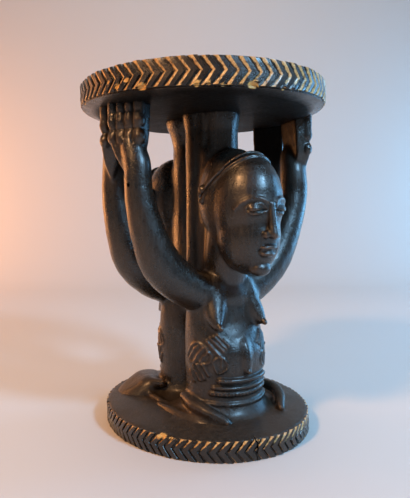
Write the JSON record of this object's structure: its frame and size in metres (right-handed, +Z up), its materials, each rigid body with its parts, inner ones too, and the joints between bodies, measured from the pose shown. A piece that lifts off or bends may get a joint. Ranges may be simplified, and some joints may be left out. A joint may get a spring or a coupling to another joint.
{
  "type": "caryatid stool",
  "caption": "Carved wooden stool whose round seat rests on the raised hands and hair of kneeling figures set back to back on a round base, with chevron rims.",
  "frame": {"origin": "centre of the bounding box in plan, on the underside of the base", "axes": "+Z up from the floor to the seat; the figure that faces the viewer in the picture faces -Y and the other faces +Y; +X runs from hand to hand"},
  "size_m": [0.3044, 0.3118, 0.42],
  "materials": {
    "blackened_wood": "carved hardwood, blackened and worn to a dark satin sheen"
  },
  "bodies": {
    "root": {"stool": "blackened_wood"}
  },
  "joints": []
}
